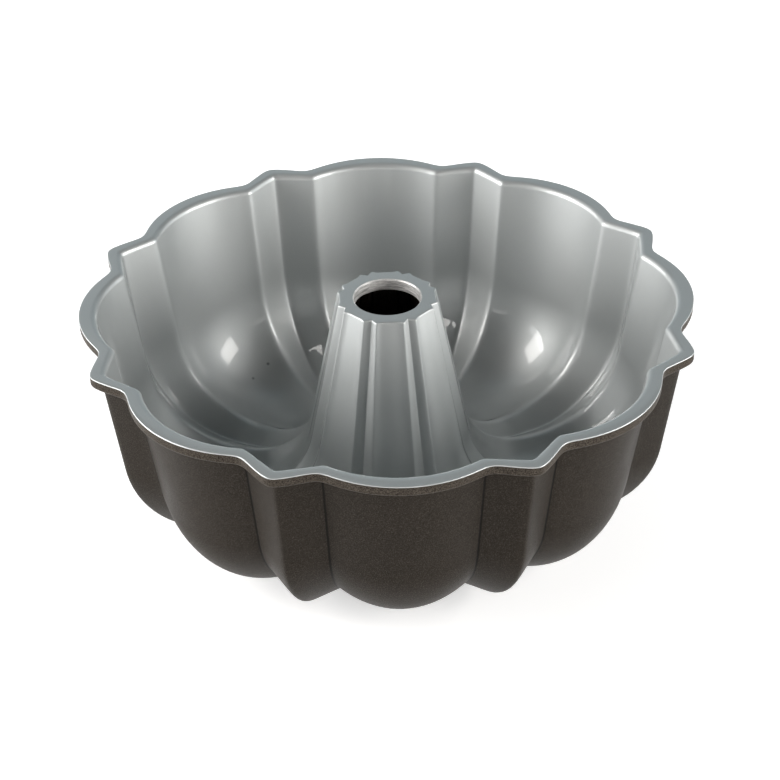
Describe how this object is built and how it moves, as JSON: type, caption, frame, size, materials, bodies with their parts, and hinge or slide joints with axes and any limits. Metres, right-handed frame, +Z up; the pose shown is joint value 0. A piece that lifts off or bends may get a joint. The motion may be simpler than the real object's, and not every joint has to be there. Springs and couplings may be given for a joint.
{
  "type": "bundt pan",
  "caption": "Fluted ring cake pan: round lobes and pointed ridges around a hollow fluted centre tube, flat rim, grey inside, dark textured outside.",
  "frame": {"origin": "centre of the pan on the flat surface that it stands on, open side up", "axes": "+Z up along the axis of the centre tube, -Y through the middle of one lobe"},
  "size_m": [0.266, 0.266, 0.0988],
  "materials": {
    "bare_aluminium": "machined, fine turning marks",
    "release_coating": "semi-gloss metallic grey non-stick coating",
    "textured_coating": "fine-textured bronze-grey coating, satin"
  },
  "bodies": {
    "root": {"pan_casting": "bare_aluminium", "interior_coating": "release_coating", "exterior_coating": "textured_coating"}
  },
  "joints": []
}
